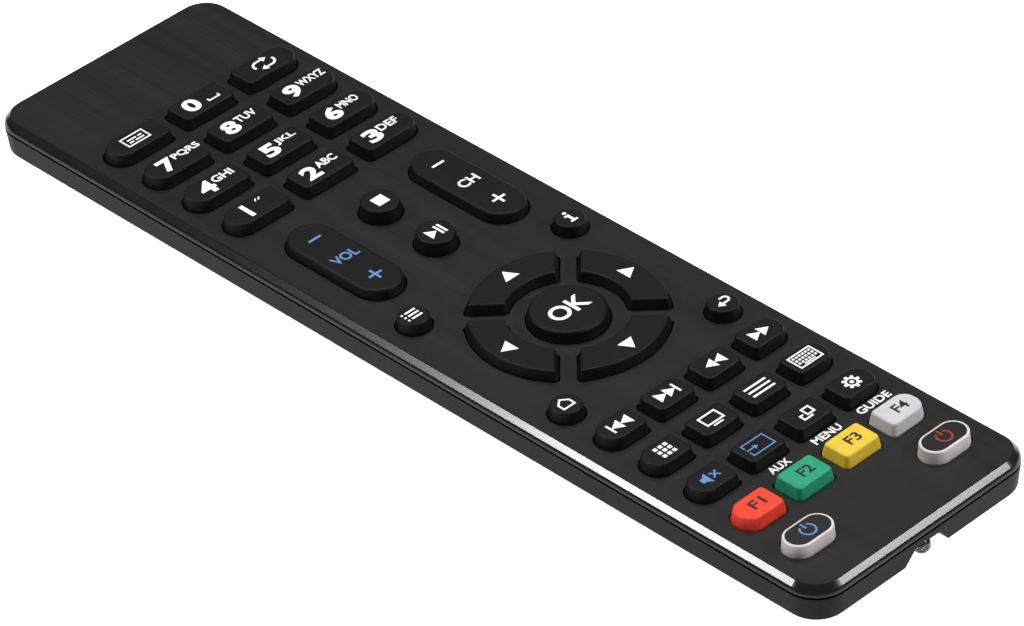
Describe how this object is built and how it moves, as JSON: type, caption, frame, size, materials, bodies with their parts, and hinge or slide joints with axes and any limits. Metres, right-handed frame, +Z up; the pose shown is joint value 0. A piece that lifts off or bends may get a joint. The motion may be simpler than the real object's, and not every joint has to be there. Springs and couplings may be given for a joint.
{
  "type": "universal remote control",
  "caption": "Slim handheld infrared remote control with a flat bevelled case, silicone keys, two rockers, a round navigation pad and a sliding battery door.",
  "frame": {"origin": "centre of the outline, on the flat belly that the remote lies on", "axes": "+X across the width, +Y along the length from the infrared end to the number-key end, +Z up out of the keys"},
  "size_m": [0.048, 0.1854, 0.0203],
  "materials": {
    "case_gloss": "polished black",
    "faceplate": "fine brushed, black",
    "case_matte": "fine texture, black",
    "key_black": "soft matte",
    "key_red": "soft satin",
    "key_green": "soft satin",
    "key_yellow": "soft satin",
    "key_grey": "soft satin",
    "key_power": "soft satin",
    "mat": "matte",
    "board": "solder mask",
    "carbon": "printed carbon",
    "chip": "moulded",
    "resonator": "dipped",
    "capacitor": "sleeved can",
    "emitter": "clear",
    "cell": "wrapped can",
    "contact": "nickel plated",
    "screw": "zinc plated"
  },
  "bodies": {
    "case": {"top_case": "case_gloss", "faceplate": "faceplate", "bottom_case": "case_matte", "battery_left": "cell", "battery_right": "cell", "negative_contact": "contact", "positive_contact": "contact", "bridge_contact": "contact", "circuit_board": "board", "controller_chip": "chip", "capacitor": "capacitor", "resonator": "resonator", "ir_emitter": "emitter", "contact_pads": "carbon", "keypad_mat": "mat", "case_screws": "screw"},
    "battery_door": {"battery_door": "case_matte"},
    "key_0": {"key_0": "key_black"},
    "key_1": {"key_1": "key_black"},
    "key_2": {"key_2": "key_black"},
    "key_3": {"key_3": "key_black"},
    "key_4": {"key_4": "key_black"},
    "key_5": {"key_5": "key_black"},
    "key_6": {"key_6": "key_black"},
    "key_7": {"key_7": "key_black"},
    "key_8": {"key_8": "key_black"},
    "key_9": {"key_9": "key_black"},
    "subtitle_key": {"subtitle_key": "key_black"},
    "recall_key": {"recall_key": "key_black"},
    "stop_key": {"stop_key": "key_black"},
    "play_pause_key": {"play_pause_key": "key_black"},
    "list_key": {"list_key": "key_black"},
    "info_key": {"info_key": "key_black"},
    "home_key": {"home_key": "key_black"},
    "return_key": {"return_key": "key_black"},
    "ok_key": {"ok_key": "key_black"},
    "arrow_right_key": {"arrow_right_key": "key_black"},
    "arrow_up_key": {"arrow_up_key": "key_black"},
    "arrow_left_key": {"arrow_left_key": "key_black"},
    "arrow_down_key": {"arrow_down_key": "key_black"},
    "previous_key": {"previous_key": "key_black"},
    "next_key": {"next_key": "key_black"},
    "rewind_key": {"rewind_key": "key_black"},
    "forward_key": {"forward_key": "key_black"},
    "apps_key": {"apps_key": "key_black"},
    "screen_key": {"screen_key": "key_black"},
    "menu_key": {"menu_key": "key_black"},
    "keyboard_key": {"keyboard_key": "key_black"},
    "mute_key": {"mute_key": "key_black"},
    "input_key": {"input_key": "key_black"},
    "swap_key": {"swap_key": "key_black"},
    "settings_key": {"settings_key": "key_black"},
    "red_key": {"red_key": "key_red"},
    "green_key": {"green_key": "key_green"},
    "yellow_key": {"yellow_key": "key_yellow"},
    "grey_key": {"grey_key": "key_grey"},
    "power_key_left": {"power_key_left": "key_power"},
    "power_key_right": {"power_key_right": "key_power"},
    "volume_rocker": {"volume_rocker": "key_black"},
    "channel_rocker": {"channel_rocker": "key_black"}
  },
  "joints": [
    {"name": "battery_door_slide", "type": "slide", "parent": "case", "child": "battery_door", "axis": [0, 1, 0], "range_m": [0, 0.055]},
    {"name": "key_0_press", "type": "slide", "parent": "case", "child": "key_0", "axis": [0, 0, -1], "range_m": [0, 0.0007], "stiffness_N_per_m": 800},
    {"name": "key_1_press", "type": "slide", "parent": "case", "child": "key_1", "axis": [0, 0, -1], "range_m": [0, 0.0007], "stiffness_N_per_m": 800},
    {"name": "key_2_press", "type": "slide", "parent": "case", "child": "key_2", "axis": [0, 0, -1], "range_m": [0, 0.0007], "stiffness_N_per_m": 800},
    {"name": "key_3_press", "type": "slide", "parent": "case", "child": "key_3", "axis": [0, 0, -1], "range_m": [0, 0.0007], "stiffness_N_per_m": 800},
    {"name": "key_4_press", "type": "slide", "parent": "case", "child": "key_4", "axis": [0, 0, -1], "range_m": [0, 0.0007], "stiffness_N_per_m": 800},
    {"name": "key_5_press", "type": "slide", "parent": "case", "child": "key_5", "axis": [0, 0, -1], "range_m": [0, 0.0007], "stiffness_N_per_m": 800},
    {"name": "key_6_press", "type": "slide", "parent": "case", "child": "key_6", "axis": [0, 0, -1], "range_m": [0, 0.0007], "stiffness_N_per_m": 800},
    {"name": "key_7_press", "type": "slide", "parent": "case", "child": "key_7", "axis": [0, 0, -1], "range_m": [0, 0.0007], "stiffness_N_per_m": 800},
    {"name": "key_8_press", "type": "slide", "parent": "case", "child": "key_8", "axis": [0, 0, -1], "range_m": [0, 0.0007], "stiffness_N_per_m": 800},
    {"name": "key_9_press", "type": "slide", "parent": "case", "child": "key_9", "axis": [0, 0, -1], "range_m": [0, 0.0007], "stiffness_N_per_m": 800},
    {"name": "subtitle_key_press", "type": "slide", "parent": "case", "child": "subtitle_key", "axis": [0, 0, -1], "range_m": [0, 0.0007], "stiffness_N_per_m": 800},
    {"name": "recall_key_press", "type": "slide", "parent": "case", "child": "recall_key", "axis": [0, 0, -1], "range_m": [0, 0.0007], "stiffness_N_per_m": 800},
    {"name": "stop_key_press", "type": "slide", "parent": "case", "child": "stop_key", "axis": [0, 0, -1], "range_m": [0, 0.0007], "stiffness_N_per_m": 800},
    {"name": "play_pause_key_press", "type": "slide", "parent": "case", "child": "play_pause_key", "axis": [0, 0, -1], "range_m": [0, 0.0007], "stiffness_N_per_m": 800},
    {"name": "list_key_press", "type": "slide", "parent": "case", "child": "list_key", "axis": [0, 0, -1], "range_m": [0, 0.0007], "stiffness_N_per_m": 800},
    {"name": "info_key_press", "type": "slide", "parent": "case", "child": "info_key", "axis": [0, 0, -1], "range_m": [0, 0.0007], "stiffness_N_per_m": 800},
    {"name": "home_key_press", "type": "slide", "parent": "case", "child": "home_key", "axis": [0, 0, -1], "range_m": [0, 0.0007], "stiffness_N_per_m": 800},
    {"name": "return_key_press", "type": "slide", "parent": "case", "child": "return_key", "axis": [0, 0, -1], "range_m": [0, 0.0007], "stiffness_N_per_m": 800},
    {"name": "ok_key_press", "type": "slide", "parent": "case", "child": "ok_key", "axis": [0, 0, -1], "range_m": [0, 0.0007], "stiffness_N_per_m": 800},
    {"name": "arrow_right_key_press", "type": "slide", "parent": "case", "child": "arrow_right_key", "axis": [0, 0, -1], "range_m": [0, 0.0007], "stiffness_N_per_m": 800},
    {"name": "arrow_up_key_press", "type": "slide", "parent": "case", "child": "arrow_up_key", "axis": [0, 0, -1], "range_m": [0, 0.0007], "stiffness_N_per_m": 800},
    {"name": "arrow_left_key_press", "type": "slide", "parent": "case", "child": "arrow_left_key", "axis": [0, 0, -1], "range_m": [0, 0.0007], "stiffness_N_per_m": 800},
    {"name": "arrow_down_key_press", "type": "slide", "parent": "case", "child": "arrow_down_key", "axis": [0, 0, -1], "range_m": [0, 0.0007], "stiffness_N_per_m": 800},
    {"name": "previous_key_press", "type": "slide", "parent": "case", "child": "previous_key", "axis": [0, 0, -1], "range_m": [0, 0.0007], "stiffness_N_per_m": 800},
    {"name": "next_key_press", "type": "slide", "parent": "case", "child": "next_key", "axis": [0, 0, -1], "range_m": [0, 0.0007], "stiffness_N_per_m": 800},
    {"name": "rewind_key_press", "type": "slide", "parent": "case", "child": "rewind_key", "axis": [0, 0, -1], "range_m": [0, 0.0007], "stiffness_N_per_m": 800},
    {"name": "forward_key_press", "type": "slide", "parent": "case", "child": "forward_key", "axis": [0, 0, -1], "range_m": [0, 0.0007], "stiffness_N_per_m": 800},
    {"name": "apps_key_press", "type": "slide", "parent": "case", "child": "apps_key", "axis": [0, 0, -1], "range_m": [0, 0.0007], "stiffness_N_per_m": 800},
    {"name": "screen_key_press", "type": "slide", "parent": "case", "child": "screen_key", "axis": [0, 0, -1], "range_m": [0, 0.0007], "stiffness_N_per_m": 800},
    {"name": "menu_key_press", "type": "slide", "parent": "case", "child": "menu_key", "axis": [0, 0, -1], "range_m": [0, 0.0007], "stiffness_N_per_m": 800},
    {"name": "keyboard_key_press", "type": "slide", "parent": "case", "child": "keyboard_key", "axis": [0, 0, -1], "range_m": [0, 0.0007], "stiffness_N_per_m": 800},
    {"name": "mute_key_press", "type": "slide", "parent": "case", "child": "mute_key", "axis": [0, 0, -1], "range_m": [0, 0.0007], "stiffness_N_per_m": 800},
    {"name": "input_key_press", "type": "slide", "parent": "case", "child": "input_key", "axis": [0, 0, -1], "range_m": [0, 0.0007], "stiffness_N_per_m": 800},
    {"name": "swap_key_press", "type": "slide", "parent": "case", "child": "swap_key", "axis": [0, 0, -1], "range_m": [0, 0.0007], "stiffness_N_per_m": 800},
    {"name": "settings_key_press", "type": "slide", "parent": "case", "child": "settings_key", "axis": [0, 0, -1], "range_m": [0, 0.0007], "stiffness_N_per_m": 800},
    {"name": "red_key_press", "type": "slide", "parent": "case", "child": "red_key", "axis": [0, 0, -1], "range_m": [0, 0.0007], "stiffness_N_per_m": 800},
    {"name": "green_key_press", "type": "slide", "parent": "case", "child": "green_key", "axis": [0, 0, -1], "range_m": [0, 0.0007], "stiffness_N_per_m": 800},
    {"name": "yellow_key_press", "type": "slide", "parent": "case", "child": "yellow_key", "axis": [0, 0, -1], "range_m": [0, 0.0007], "stiffness_N_per_m": 800},
    {"name": "grey_key_press", "type": "slide", "parent": "case", "child": "grey_key", "axis": [0, 0, -1], "range_m": [0, 0.0007], "stiffness_N_per_m": 800},
    {"name": "power_key_left_press", "type": "slide", "parent": "case", "child": "power_key_left", "axis": [0, 0, -1], "range_m": [0, 0.0007], "stiffness_N_per_m": 800},
    {"name": "power_key_right_press", "type": "slide", "parent": "case", "child": "power_key_right", "axis": [0, 0, -1], "range_m": [0, 0.0007], "stiffness_N_per_m": 800},
    {"name": "volume_rocker_tilt", "type": "hinge", "parent": "case", "child": "volume_rocker", "pos_m": [-0.01355, 0.01865, 0.01595], "axis": [1, 0, 0], "range_deg": [-3, 3], "stiffness_Nm_per_rad": 0.15},
    {"name": "channel_rocker_tilt", "type": "hinge", "parent": "case", "child": "channel_rocker", "pos_m": [0.01355, 0.01865, 0.01595], "axis": [1, 0, 0], "range_deg": [-3, 3], "stiffness_Nm_per_rad": 0.15}
  ]
}
